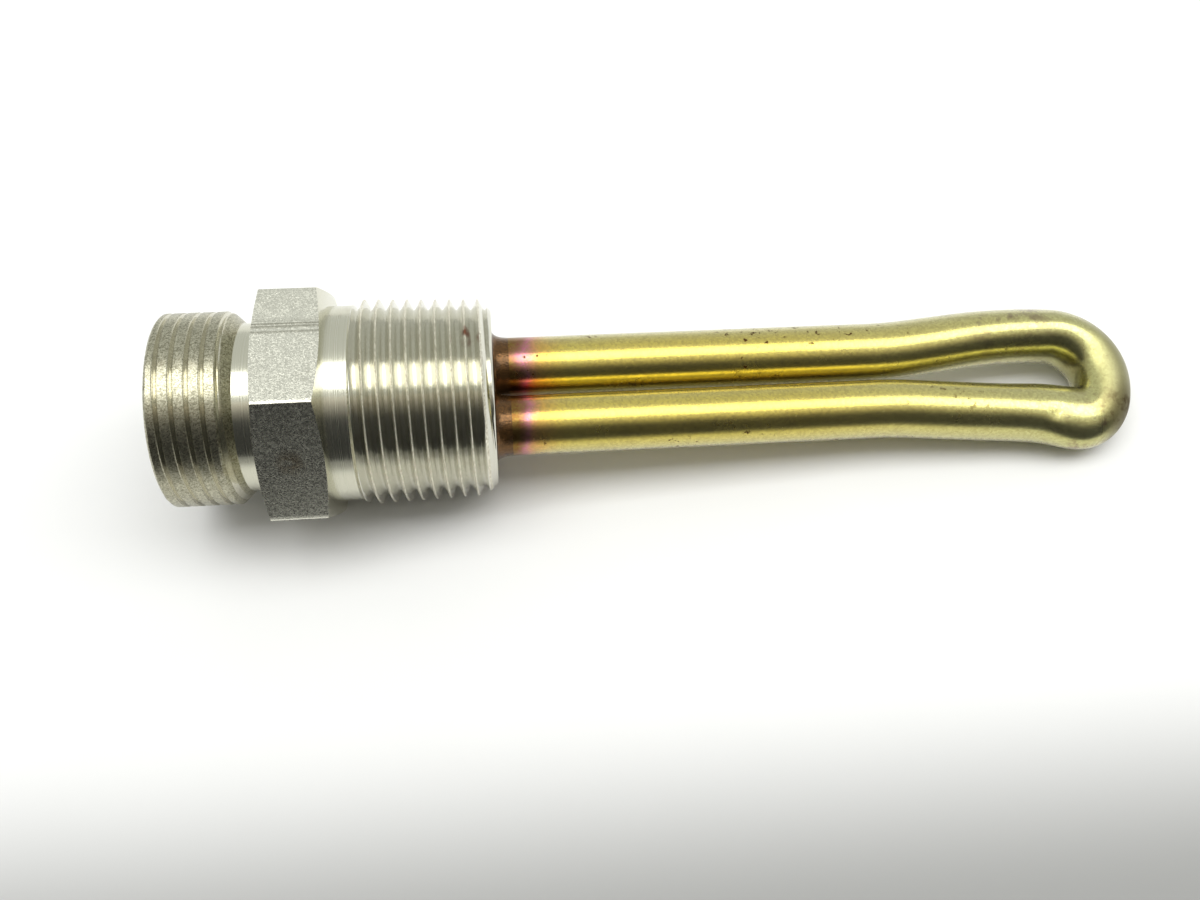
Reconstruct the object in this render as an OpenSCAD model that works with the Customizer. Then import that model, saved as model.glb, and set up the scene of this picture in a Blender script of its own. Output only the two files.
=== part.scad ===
// Screw plug immersion heater: a hexagon plug with a tapered pipe thread, a rear
// thread for a terminal housing, and one hairpin tubular element brazed into it.
// The heater's axis is X, from the terminal end (-X) to the bend of the element (+X).
// The origin is on that axis, in the hexagon's face on the tank side. Millimetres.

/* [Hexagon] */
// Width across the hexagon's flats
hex_af = 28.575; // [27.5:0.005:34]
// Length of the hexagon between its two faces
hex_len = 8.45; // [6:0.05:14]
// Diameter at which the corner chamfer meets each face
hex_face_d = 27.6; // [26.8:0.05:28.4]
// Slope of the corner chamfer, in degrees from the face
hex_chamfer = 15; // [8:0.5:30]

/* [Tank thread] */
// Diameter of the plain neck beside the hexagon
front_neck_d = 25.4; // [23.5:0.05:25.6]
// Length of that neck
front_neck_len = 2.9; // [1:0.05:8]
// Pitch of the pipe thread, 14 turns to the inch
npt_pitch = 1.814; // [1.6:0.001:2.2]
// Full turns of the pipe thread
npt_turns = 9; // [6:1:12]
// Crest diameter at the tank end of the pipe thread
npt_end_d = 25.8; // [25.4:0.05:26.4]
// Growth of the pipe thread's diameter for each unit of length
npt_taper = 0.0625; // [0.03:0.0005:0.08]
// Depth of the pipe thread
npt_depth = 1.4; // [0.9:0.05:1.45]
// Width of the flat on each crest and in each root of the pipe thread
npt_flat = 0.08; // [0.05:0.01:0.15]
// From the last crest to the plug's end face
npt_lead = 1.26; // [0.8:0.02:2]
// Width of the bevel at the plug's end face
end_bevel = 1.5; // [0.4:0.05:2.2]

/* [Housing thread] */
// Diameter of the rear neck beside the hexagon
rear_neck_d = 21.8; // [21:0.05:23]
// Length of the rear neck
rear_neck_len = 2.64; // [1:0.02:6]
// Crest diameter of the straight rear thread
rear_d = 25; // [24.6:0.05:26]
// Pitch of the rear thread, 14 turns to the inch
rear_pitch = 1.814; // [1.6:0.001:2.2]
// Full turns of the rear thread
rear_turns = 5; // [3:1:9]
// Depth of the rear thread
rear_depth = 0.7; // [0.4:0.05:1]
// Width of each crest of the rear thread
rear_land = 0.9; // [0.6:0.02:1.1]
// From the rear rim to the first crest
rear_lead = 0.52; // [0.46:0.02:1.5]
// From the rear neck to the last crest
rear_runout = 2.12; // [1.8:0.02:3]
// Bevel on the outside of the rear rim
rear_bevel = 0.3; // [0.1:0.05:0.45]

/* [Terminal cup] */
// Bore of the cup that holds the terminals
cup_d = 17.6; // [16.6:0.05:18.4]
// Thickness of the solid end that carries the element
web_len = 14.5; // [8:0.1:17]
// Bevel at the mouth of the cup
cup_bevel = 0.6; // [0.2:0.05:1.2]

/* [Element] */
// Outside diameter of the element's sheath
sheath_od = 7.9; // [7:0.05:8.2]
// Wall of the sheath
sheath_wall = 0.7; // [0.4:0.05:1]
// Space between the two legs where they leave the plug
leg_gap = 0.7; // [0.1:0.05:0.9]
// Turn of the hairpin about the heater's axis, in degrees from +Y towards +Z
hairpin_roll = 6; // [0:1:90]
// Length of sheath that stands into the cup
sheath_stub = 4; // [2:0.1:6]
// From the plug's end face to the point where the far leg bends outwards
spread_start = 51; // [30:0.1:90]
// Radius at which both legs bend outwards
spread_radius = 60; // [40:1:90]
// Angle at which the far leg leaves the axis
far_angle = 6.2; // [3:0.1:9]
// Straight stretch of the far leg after that bend
far_straight = 6.7; // [1:0.1:10]
// Radius of the shoulder that turns the far leg back
shoulder_radius = 74; // [40:1:90]
// Inward angle of the far leg after its shoulder
shoulder_angle = 4; // [2:0.1:8]
// Radius of the crown of the bend
crown_radius = 6.9; // [6.2:0.1:9]
// Heading at which the crown passes into the nose
crown_angle = 116; // [95:0.5:120]
// Clear radius inside the nose, the tightest part of the bend
nose_gap = 0.25; // [0.15:0.05:0.6]
// Angle at which the near leg runs back to the axis
near_angle = 5.2; // [4:0.1:9]

/* [Braze] */
// Reach of the braze along the legs
braze_reach = 2.1; // [1:0.1:4]
// Spread of the braze on the plug's end face
braze_spread = 2; // [1:0.1:2.6]
// Radial space around each leg inside the plug
braze_gap = 0.05; // [0.03:0.01:0.08]

/* [Heating wire] */
// Diameter of the resistance wire
wire_d = 0.5; // [0.3:0.05:0.7]
// Outside diameter of the wire coil
coil_od = 3.2; // [2.8:0.05:3.8]
// Pitch of the coil's turns
coil_pitch = 3; // [1.6:0.1:4]
// Space left between the coil and the powder around it
coil_gap = 0.05; // [0.03:0.01:0.1]
// Unheated length of each pin past the plug's end face
cold_len = 12; // [6:0.5:20]
// Length of the pin's tip inside the coil
tip_len = 4; // [2:0.1:7]

/* [Terminals] */
// Diameter of the terminal pins
pin_d = 3; // [2.6:0.05:3.4]
// Length of each pin past its last nut
stud_free = 5.2; // [3:0.1:6]
// Depth of the resin seal in each sheath mouth
seal_depth = 3; // [1.5:0.1:5]
// Step from the sheath's outside to the bushing's outside
bushing_step = 0.25; // [0.1:0.05:0.6]
// Length of the ceramic bushings
bushing_len = 3; // [1.5:0.1:4]
// Bevel on the bushings' outer rim
bushing_bevel = 0.5; // [0.2:0.05:0.8]
// Outside diameter of the terminal washers
washer_d = 6.4; // [5.6:0.1:7.2]
// Thickness of the terminal washers
washer_len = 0.5; // [0.3:0.05:0.8]
// Width across the flats of the terminal nuts
nut_af = 5.5; // [5:0.05:6.2]
// Height of the terminal nuts
nut_len = 2.4; // [1.6:0.1:3]
// Radial space between a pin and what is threaded on it
stud_gap = 0.03; // [0.02:0.01:0.06]

/* [Hidden] */
$fn = 96;

steel_color = [0.77, 0.76, 0.73];
sheath_color = [0.71, 0.65, 0.30];
braze_color = [0.36, 0.22, 0.12];
powder_color = [0.90, 0.89, 0.85];
wire_color = [0.42, 0.41, 0.40];
pin_color = [0.66, 0.66, 0.64];
resin_color = [0.55, 0.20, 0.13];
ceramic_color = [0.93, 0.91, 0.86];
nut_color = [0.80, 0.70, 0.42];

// Cutters reach this far past the faces that they cut
over = 1;

// The hairpin's steps have levels: a step is a hair slimmer than a neighbour of a lower level,
// and laps into it, so that the two cross cleanly
route_levels = [0, 1, 0, 1, 2, 1, 0, 1, 0];
level_step = 0.03;
lap = 0.2;

// Stations along the axis
first_crest = front_neck_len + npt_pitch;
plug_end = first_crest + (npt_turns - 1) * npt_pitch + npt_lead;
rear_neck_end = -hex_len - rear_neck_len;
rear_last_crest = rear_neck_end - rear_runout;
rear_end = rear_last_crest - (rear_turns - 1) * rear_pitch - rear_lead;
cup_floor = plug_end - web_len;
sheath_end = cup_floor - sheath_stub;
bushing_end = sheath_end - bushing_len;
nut_step = washer_len + nut_len;
nuts_per_pin = 2;
stud_end = bushing_end - nuts_per_pin * nut_step - stud_free;
cold_end = plug_end + cold_len;

// Radii
sheath_r = sheath_od / 2;
bore_r = sheath_r - sheath_wall;
pin_r = pin_d / 2;
leg_offset = (sheath_od + leg_gap) / 2;
nose_radius = sheath_r + nose_gap;
coil_sides = 8;
coil_mid_r = (coil_od - wire_d) / 2;
coil_room_r = coil_od / 2 + coil_gap + max(route_levels) * level_step;
core_r = (coil_od / 2 - wire_d) * cos(180 / coil_sides) - coil_gap;

// Crest radius of the pipe thread at a station
function npt_r(x) = npt_end_d / 2 + (plug_end - x) * npt_taper / 2;

// One solid turned about the axis, from points that are [radius, station]
module turned(points) rotate([0, 90, 0]) rotate_extrude() polygon(points);

// One round bar along the axis
module bar(r, from, to) translate([from, 0, 0]) rotate([0, 90, 0]) cylinder(r = r, h = to - from);

// Children copied to the far leg (side 1) or the near leg (side -1)
module at_leg(side) rotate([hairpin_roll, 0, 0]) translate([0, side * leg_offset, 0]) children();

// Route of the hairpin, in its own plane: lines ["line", length, 0] and arcs ["arc", radius, turn]
function far_route(start) = [
  ["line", plug_end + spread_start - start, 0],
  ["arc", spread_radius, far_angle],
  ["line", far_straight, 0],
  ["arc", shoulder_radius, -far_angle - shoulder_angle],
  ["arc", crown_radius, shoulder_angle - crown_angle],
  ["arc", nose_radius, crown_angle - near_angle - 180]
];

function left_of(heading) = [-sin(heading), cos(heading)];
function arc_centre(pose, step) = [pose[0], pose[1]] + sign(step[2]) * step[1] * left_of(pose[2]);
function arc_end(pose, step) =
  arc_centre(pose, step) - sign(step[2]) * step[1] * left_of(pose[2] + step[2]);

// Pose after part of a step: [x, y, heading]
function moved(pose, step, share = 1) =
  step[0] == "line"
  ? [
      pose[0] + share * step[1] * cos(pose[2]),
      pose[1] + share * step[1] * sin(pose[2]),
      pose[2]
    ]
  : let (part = ["arc", step[1], share * step[2]], end = arc_end(pose, part))
    [end[0], end[1], pose[2] + part[2]];

// Pose at the start of step i of a route that begins on the far leg
function pose_at(route, start, i) =
  i == 0 ? [start, leg_offset, 0] : moved(pose_at(route, start, i - 1), route[i - 1]);

// The near leg runs straight back until its own bend brings it to its place beside the far leg
nose_end = pose_at(far_route(0), 0, len(far_route(0)));
near_rise = spread_radius * (1 - cos(near_angle));
near_straight = (-leg_offset - near_rise - nose_end[1]) / sin(near_angle);
near_bend_x = nose_end[0] - near_straight * cos(near_angle) - spread_radius * sin(near_angle);

function hairpin_route(start) = concat(far_route(start), [
  ["line", near_straight, 0],
  ["arc", spread_radius, near_angle],
  ["line", near_bend_x - start, 0]
]);

// One step of the route as a round bar, lengthened by a lap at its start and its end
module route_step(pose, step, r, lap_in, lap_out) {
  if (step[0] == "line") {
    translate([pose[0], pose[1], 0]) rotate([0, 0, pose[2]]) bar(r, 0, step[1]);
  } else {
    centre = arc_centre(pose, step);
    lap_angle = lap / step[1] * 180 / PI;
    low_lap = lap_angle * (step[2] > 0 ? lap_in : lap_out);
    both_laps = lap_angle * (lap_in + lap_out);
    from = step[2] > 0 ? pose[2] - 90 : pose[2] + 90 + step[2];
    translate([centre[0], centre[1], 0])
      rotate([0, 0, from - low_lap])
        rotate_extrude(angle = abs(step[2]) + both_laps) translate([step[1], 0]) circle(r = r);
  }
}

// A round bar along the whole hairpin, with both its ends at one station
module hairpin(r, start) {
  route = hairpin_route(start);
  last = len(route) - 1;
  rotate([hairpin_roll, 0, 0]) for (i = [0 : last]) {
    level = route_levels[i];
    lap_in = i > 0 && level > route_levels[i - 1] ? 1 : 0;
    lap_out = i < last && level > route_levels[i + 1] ? 1 : 0;
    route_step(pose_at(route, start, i), route[i], r - level * level_step, lap_in, lap_out);
  }
}

// The hexagon, with a flat downwards and its corners bevelled at both faces
module hexagon() {
  corner_r = hex_af / 2 / cos(30);
  face_r = hex_face_d / 2;
  rim_r = corner_r + over;
  cut = (rim_r - face_r) * tan(hex_chamfer);
  intersection() {
    translate([-hex_len, 0, 0])
      rotate([0, 90, 0]) rotate([0, 0, 30]) cylinder(r = corner_r, h = hex_len, $fn = 6);
    turned([
      [0, -hex_len], [face_r, -hex_len], [rim_r, cut - hex_len],
      [rim_r, -cut], [face_r, 0], [0, 0]
    ]);
  }
}

// Outline of the rear thread, from the rim to the neck, as rings
function rear_profile() = concat(
  [[0, rear_end], [rear_d / 2 - rear_bevel, rear_end], [rear_d / 2, rear_end + rear_bevel]],
  [
    for (i = [1 : rear_turns - 1])
      let (groove = rear_last_crest - (rear_turns - 1 - i + 0.5) * rear_pitch)
      let (half_top = (rear_pitch - rear_land) / 2)
      for (p = [[0, -half_top], [rear_depth, -half_top / 4], [rear_depth, half_top / 4], [0, half_top]])
        [rear_d / 2 - p[0], groove + p[1]]
  ],
  [
    [rear_d / 2, rear_last_crest + rear_land / 2],
    [rear_neck_d / 2, rear_neck_end],
    [rear_neck_d / 2, -hex_len]
  ]
);

// Outline of the pipe thread, from the neck to the end face, as rings
function npt_profile() = concat(
  [
    [front_neck_d / 2, 0],
    [front_neck_d / 2, front_neck_len],
    [front_neck_d / 2 - npt_depth / 4, front_neck_len + npt_pitch / 4],
    [npt_r(first_crest) - npt_depth, first_crest - npt_pitch / 2]
  ],
  [
    for (i = [0 : npt_turns - 1])
      let (crest = first_crest + i * npt_pitch)
      let (root = crest + npt_pitch / 2)
      for (p = [[crest - npt_flat / 2, 0], [crest + npt_flat / 2, 0],
                [root - npt_flat / 2, npt_depth], [root + npt_flat / 2, npt_depth]])
        if (p[0] < plug_end) [npt_r(p[0]) - p[1], p[0]]
  ],
  [[npt_r(plug_end) - npt_depth, plug_end], [0, plug_end]]
);

module plug_body() {
  end_r = npt_r(plug_end) - end_bevel;
  rim_r = npt_r(0) + over;
  color(steel_color) difference() {
    intersection() {
      union() {
        turned(concat(rear_profile(), npt_profile()));
        hexagon();
      }
      turned([
        [0, rear_end], [hex_af, rear_end], [hex_af, 0], [rim_r, 0],
        [rim_r, plug_end - rim_r + end_r], [end_r, plug_end], [0, plug_end]
      ]);
    }
    turned([
      [0, rear_end - over], [cup_d / 2 + cup_bevel + over, rear_end - over],
      [cup_d / 2, rear_end + cup_bevel], [cup_d / 2, cup_floor], [0, cup_floor]
    ]);
    for (side = [1, -1]) at_leg(side) bar(sheath_r + braze_gap, cup_floor - over, plug_end + over);
  }
}

module braze_joint() {
  fillet_steps = 5;
  fillet = [
    for (i = [0 : fillet_steps])
      let (a = 90 * i / fillet_steps)
      [sheath_r + braze_spread * (1 - sin(a)), plug_end + braze_reach * (1 - cos(a))]
  ];
  color(braze_color) difference() {
    for (side = [1, -1]) at_leg(side) turned(concat([[0, plug_end]], fillet, [[0, plug_end + braze_reach]]));
    for (side = [1, -1]) at_leg(side) bar(sheath_r, plug_end - over, plug_end + braze_reach + over);
  }
}

module element_sheath() color(sheath_color) difference() {
  hairpin(sheath_r, sheath_end);
  hairpin(bore_r, sheath_end - over);
}

// Pressed magnesia between the wire and the sheath, and inside the coil
module magnesia_fill() color(powder_color) difference() {
  hairpin(bore_r, sheath_end + seal_depth);
  difference() {
    hairpin(coil_room_r, cold_end);
    hairpin(core_r, cold_end + tip_len);
  }
  for (side = [1, -1]) at_leg(side) bar(pin_r, sheath_end, cold_end);
}

// Length of each step of a route, and the pose a given way along it
function step_len(step) = step[0] == "line" ? step[1] : step[1] * abs(step[2]) * PI / 180;
function length_before(route, i) = i == 0 ? 0 : length_before(route, i - 1) + step_len(route[i - 1]);
function step_of(route, way, i = 0) =
  i == len(route) - 1 || way <= length_before(route, i + 1) ? i : step_of(route, way, i + 1);
function pose_along(route, start, way) =
  let (i = step_of(route, way))
  moved(pose_at(route, start, i), route[i], (way - length_before(route, i)) / step_len(route[i]));

// The wire is wound round the hairpin's centre line, with a ring of four points at each corner of a turn
module resistance_coil() {
  start = cold_end + coil_gap;
  route = hairpin_route(start);
  first = wire_d / 2;
  span = length_before(route, len(route)) - wire_d;
  rings = floor(span / coil_pitch * coil_sides);
  wire_r = wire_d / 2;
  points = [
    for (i = [0 : rings])
      let (pose = pose_along(route, start, first + span * i / rings), turn = 360 * i / coil_sides)
      let (along = [cos(pose[2]), sin(pose[2]), 0])
      let (out = [-sin(pose[2]) * cos(turn), cos(pose[2]) * cos(turn), sin(turn)])
      for (k = [0 : 3])
        [pose[0], pose[1], 0] + (coil_mid_r + wire_r * cos(90 * k)) * out + wire_r * sin(90 * k) * along
  ];
  sides = [
    for (i = [0 : rings - 1], k = [0 : 3])
      let (a = 4 * i + k, b = 4 * i + (k + 1) % 4)
      for (triangle = [[a, b, b + 4], [a, b + 4, a + 4]]) triangle
  ];
  last = 4 * rings;
  ends = [[2, 1, 0], [3, 2, 0], [last, last + 1, last + 2], [last, last + 2, last + 3]];
  color(wire_color) rotate([hairpin_roll, 0, 0]) polyhedron(points, concat(sides, ends));
}

// A cold pin: a stud in the cup, a plain bar in the sheath and a turned tip inside the coil
module terminal_pin(side) color(pin_color) at_leg(side) {
  stud_bevel = pin_r / 4;
  turned([
    [0, stud_end], [pin_r - stud_bevel, stud_end], [pin_r, stud_end + stud_bevel], [pin_r, cold_end],
    [core_r, cold_end], [core_r, cold_end + tip_len], [0, cold_end + tip_len]
  ]);
}

module end_seal(side) color(resin_color) at_leg(side) difference() {
  bar(bore_r, sheath_end, sheath_end + seal_depth);
  bar(pin_r, sheath_end - over, sheath_end + seal_depth + over);
}

module ceramic_bushing(side) color(ceramic_color) at_leg(side) difference() {
  bushing_r = sheath_r - bushing_step;
  turned([
    [0, bushing_end], [bushing_r - bushing_bevel, bushing_end],
    [bushing_r, bushing_end + bushing_bevel], [bushing_r, sheath_end], [0, sheath_end]
  ]);
  bar(pin_r + stud_gap, bushing_end - over, sheath_end + over);
}

// Each pin has a fixing pair and a wiring pair, each a washer under a nut
module on_each_pin() for (side = [1, -1], i = [0 : nuts_per_pin - 1])
  at_leg(side) translate([bushing_end - i * nut_step, 0, 0]) children();

module terminal_washers() color(nut_color) on_each_pin() difference() {
  bar(washer_d / 2, -washer_len, 0);
  bar(pin_r + stud_gap, -washer_len - over, over);
}

module terminal_nuts() color(nut_color) on_each_pin() difference() {
  nut_corner = nut_af / 2 / cos(30);
  nut_bevel = (nut_corner - nut_af / 2) / 2;
  intersection() {
    translate([-nut_step, 0, 0]) rotate([0, 90, 0]) cylinder(r = nut_corner, h = nut_len, $fn = 6);
    turned([
      [0, -nut_step], [nut_af / 2, -nut_step], [nut_corner, nut_bevel - nut_step],
      [nut_corner, -washer_len - nut_bevel], [nut_af / 2, -washer_len], [0, -washer_len]
    ]);
  }
  bar(pin_r + stud_gap, -nut_step - over, over - washer_len);
}

plug_body();
braze_joint();
element_sheath();
magnesia_fill();
resistance_coil();
terminal_pin(1);  // terminal_pin_1
terminal_pin(-1);  // terminal_pin_2
end_seal(1);  // end_seal_1
end_seal(-1);  // end_seal_2
ceramic_bushing(1);  // ceramic_bushing_1
ceramic_bushing(-1);  // ceramic_bushing_2
terminal_washers();
terminal_nuts();
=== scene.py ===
import math

import bmesh
import bpy
from mathutils import Matrix, Vector


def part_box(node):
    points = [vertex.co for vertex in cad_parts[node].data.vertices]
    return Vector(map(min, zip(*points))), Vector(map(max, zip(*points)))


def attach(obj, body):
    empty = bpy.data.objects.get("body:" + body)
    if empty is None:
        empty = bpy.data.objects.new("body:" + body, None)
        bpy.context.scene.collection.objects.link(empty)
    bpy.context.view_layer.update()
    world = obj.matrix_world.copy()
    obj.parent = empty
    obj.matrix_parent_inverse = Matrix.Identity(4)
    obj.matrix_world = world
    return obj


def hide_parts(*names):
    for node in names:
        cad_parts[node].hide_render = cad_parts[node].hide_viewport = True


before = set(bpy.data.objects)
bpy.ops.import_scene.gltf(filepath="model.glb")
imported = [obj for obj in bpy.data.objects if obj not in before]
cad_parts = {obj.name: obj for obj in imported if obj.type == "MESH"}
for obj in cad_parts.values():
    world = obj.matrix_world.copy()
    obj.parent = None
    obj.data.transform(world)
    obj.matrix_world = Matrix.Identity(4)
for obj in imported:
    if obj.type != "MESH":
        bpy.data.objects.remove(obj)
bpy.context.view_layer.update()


# The plug: one piece of stainless hexagon bar, turned, threaded and then blasted. A tapered pipe
# thread screws into the tank and a straight one takes the terminal housing, with a plain neck on
# each side of the hexagon. The rear is bored as a cup, and two holes in its end take the legs.

scene = bpy.context.scene
MM = 0.001
plug_low, plug_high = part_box("plug_body")
rear_end = plug_low.x
plug_end = plug_high.x
hexagon_flats = plug_high.z - plug_low.z
hexagon_length = 8.45 * MM
hexagon_face_radius = 13.8 * MM
hexagon_chamfer = math.tan(math.radians(15))
hexagon_edge = 0.16 * MM
front_neck_radius = 12.7 * MM
front_neck_end = 2.9 * MM
rear_neck_radius = 10.9 * MM
rear_neck_start = -11.09 * MM
cup_radius = 8.8 * MM
cup_bevel = 0.6 * MM
cup_floor = 5.986 * MM
end_face_radius = 11.4 * MM
thread_pitch = 1.814 * MM
pipe_crest_radius = 12.9 * MM
pipe_first_crest = 4.714 * MM
rear_crest_radius = 12.5 * MM
rear_last_crest = -13.21 * MM
rear_bevel = 0.3 * MM
leg_radius = 3.95 * MM
leg_offset = 4.3 * MM
leg_hole_radius = 4.0 * MM
leg_sides = 64
hairpin_roll = math.radians(6)
columns = 192
weld = 0.002 * MM
# Crests are counted where the thread faces this angle round the axis, from +Y towards +Z
facing_turn = 121.3 / 360
# Marks on the steel: fine draw marks on the upper flat, a stain on the front one, rust on a crest
marks_across = 2.5 * MM
upper_flat = 14.1 * MM
front_flat_middle = (-4.2 * MM, -12.4 * MM, 7.15 * MM)
rust_spot = (17.6 * MM, 2.0 * MM, 12.7 * MM)


def place(tree, kind, inputs=(), **settings):
    """Adds one node to a tree. An input takes a value or the socket of another node."""
    node = tree.nodes.new(kind)
    for name, value in settings.items():
        setattr(node, name, value)
    for key, value in dict(inputs).items():
        if isinstance(value, bpy.types.NodeSocket):
            tree.links.new(value, node.inputs[key])
        else:
            node.inputs[key].default_value = value
    return node


def calc(tree, operation, a, b=0.0, c=0.0):
    """The output of one Math node."""
    return place(tree, "ShaderNodeMath", {0: a, 1: b, 2: c}, operation=operation).outputs[0]


def remap(tree, value, low, high, to_low=0.0, to_high=1.0, way="LINEAR"):
    """The output of a clamped Map Range node."""
    inputs = {"Value": value, "From Min": low, "From Max": high, "To Min": to_low, "To Max": to_high}
    return place(tree, "ShaderNodeMapRange", inputs, interpolation_type=way, clamp=True).outputs["Result"]


def mixed(tree, share, first, second, strength=None):
    """The colour output of a Mix node, whose share a strength can scale down."""
    if strength is not None:
        share = calc(tree, "MULTIPLY", share, strength)
    return place(tree, "ShaderNodeMix", {"Factor": share, 6: first, 7: second}, data_type="RGBA").outputs[2]


def new_group(name, kind, inputs, outputs):
    """An empty node group with named sockets, and the sockets that its nodes read and fill."""
    tree = bpy.data.node_groups.new(name, kind)
    for label, socket in inputs:
        tree.interface.new_socket(label, in_out="INPUT", socket_type="NodeSocket" + socket)
    for label, socket in outputs:
        tree.interface.new_socket(label, in_out="OUTPUT", socket_type="NodeSocket" + socket)
    given = tree.nodes.new("NodeGroupInput").outputs
    wanted = tree.nodes.new("NodeGroupOutput").inputs
    return tree, given, wanted


def object_place(tree):
    """Object coordinates, in metres."""
    return place(tree, "ShaderNodeTexCoord").outputs["Object"]


def object_axes(tree):
    """The X, Y and Z of a place on the object."""
    return place(tree, "ShaderNodeSeparateXYZ", {0: object_place(tree)}).outputs


def noise(tree, per_metre, detail):
    """Soft noise on Object coordinates."""
    inputs = {"Vector": object_place(tree), "Scale": per_metre, "Detail": detail}
    return place(tree, "ShaderNodeTexNoise", inputs).outputs["Fac"]


def line_noise(tree, way, per_metre, detail):
    """Noise that changes along one way only, so it lies in lines across it."""
    inputs = {"W": calc(tree, "MULTIPLY", way, per_metre), "Scale": 1.0, "Detail": detail}
    return place(tree, "ShaderNodeTexNoise", inputs, noise_dimensions="1D").outputs["Fac"]


def turning_rings_group():
    """Fine rings round the X axis, as a lathe tool leaves them."""
    tree, given, wanted = new_group(
        "Turning rings", "ShaderNodeTree", [("Rings per Metre", "Float")], [("Height", "Float")])
    fine = line_noise(tree, object_axes(tree)["X"], given["Rings per Metre"], 3.0)
    tree.links.new(fine, wanted["Height"])
    return tree


def blasted_grain_group():
    """Round pits and peaks of blasted metal, and the sparkle of the facets among them."""
    tree, given, wanted = new_group(
        "Blasted grain", "ShaderNodeTree", [("Grains per Metre", "Float")],
        [("Height", "Float"), ("Sparkle", "Float")])
    soft = noise(tree, given["Grains per Metre"], 2.0)
    cells = place(tree, "ShaderNodeTexVoronoi", {
        "Vector": object_place(tree), "Scale": given["Grains per Metre"]})
    pit = calc(tree, "MULTIPLY", cells.outputs["Distance"], 0.6)
    tree.links.new(calc(tree, "SUBTRACT", soft, pit), wanted["Height"])
    tone = place(tree, "ShaderNodeSeparateColor", {0: cells.outputs["Color"]}).outputs[0]
    tree.links.new(tone, wanted["Sparkle"])
    return tree


def stain_group():
    """Ragged spots that cover a share of the surface."""
    tree, given, wanted = new_group(
        "Stains", "ShaderNodeTree", [("Spots per Metre", "Float"), ("Cover", "Float"), ("Seed", "Float")],
        [("Mask", "Float")])
    inputs = {
        "Vector": object_place(tree), "W": given["Seed"], "Scale": given["Spots per Metre"],
        "Detail": 5.0, "Roughness": 0.65}
    cloud = place(tree, "ShaderNodeTexNoise", inputs, noise_dimensions="4D").outputs["Fac"]
    edge = calc(tree, "SUBTRACT", 1.0, given["Cover"])
    soft_edge = calc(tree, "ADD", edge, 0.12)
    tree.links.new(remap(tree, cloud, edge, soft_edge), wanted["Mask"])
    return tree


turning_rings = turning_rings_group()
blasted_grain = blasted_grain_group()
stains = stain_group()


def rings_on(tree, per_metre):
    """The height of the turning rings in a material."""
    inputs = {"Rings per Metre": per_metre}
    return place(tree, "ShaderNodeGroup", inputs, node_tree=turning_rings).outputs["Height"]


def grain_on(tree, per_metre):
    """The height and the sparkle of the blasted grain in a material."""
    inputs = {"Grains per Metre": per_metre}
    return place(tree, "ShaderNodeGroup", inputs, node_tree=blasted_grain).outputs


def stains_on(tree, per_metre, cover, seed):
    """The mask of the stains in a material."""
    inputs = {"Spots per Metre": per_metre, "Cover": cover, "Seed": seed}
    return place(tree, "ShaderNodeGroup", inputs, node_tree=stains).outputs["Mask"]


def new_finish(name, **constants):
    """A material with a Principled shader whose constant sockets are set, and its node tree."""
    material = bpy.data.materials.new(name)
    material.use_nodes = True
    tree = material.node_tree
    shader = tree.nodes["Principled BSDF"]
    for label, value in constants.items():
        shader.inputs[label.replace("_", " ")].default_value = value
    return material, tree, shader


def feed(tree, shader, colour, roughness=None):
    """Links a colour, and a roughness that changes over the surface, to the shader."""
    tree.links.new(colour, shader.inputs["Base Color"])
    if roughness is not None:
        tree.links.new(roughness, shader.inputs["Roughness"])


def bumped(tree, shader, height, depth):
    """Feeds a height, in metres of depth, to the shader's normal."""
    bump = place(tree, "ShaderNodeBump", {"Height": height, "Distance": depth})
    tree.links.new(bump.outputs["Normal"], shader.inputs["Normal"])


def turned_steel_finish():
    material, tree, shader = new_finish("turned_steel", Metallic=1.0)
    rings = rings_on(tree, 9000.0)
    dirt = stains_on(tree, 260.0, cover=0.40, seed=3.0)
    clean = mixed(tree, rings, (0.54, 0.53, 0.43, 1), (0.68, 0.67, 0.55, 1))
    colour = mixed(tree, dirt, clean, (0.31, 0.26, 0.18, 1), strength=0.35)
    feed(tree, shader, colour, remap(tree, rings, 0.25, 0.75, 0.09, 0.30))
    bumped(tree, shader, rings, 0.012 * MM)
    return material


def spot_mask(tree, centre, inner, outer):
    """1 within a distance of a point on the surface, fading to 0 at a larger one."""
    away = place(tree, "ShaderNodeVectorMath", {0: object_place(tree), 1: centre}, operation="DISTANCE")
    return remap(tree, away.outputs["Value"], inner, outer, 1.0, 0.0, way="SMOOTHSTEP")


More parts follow.
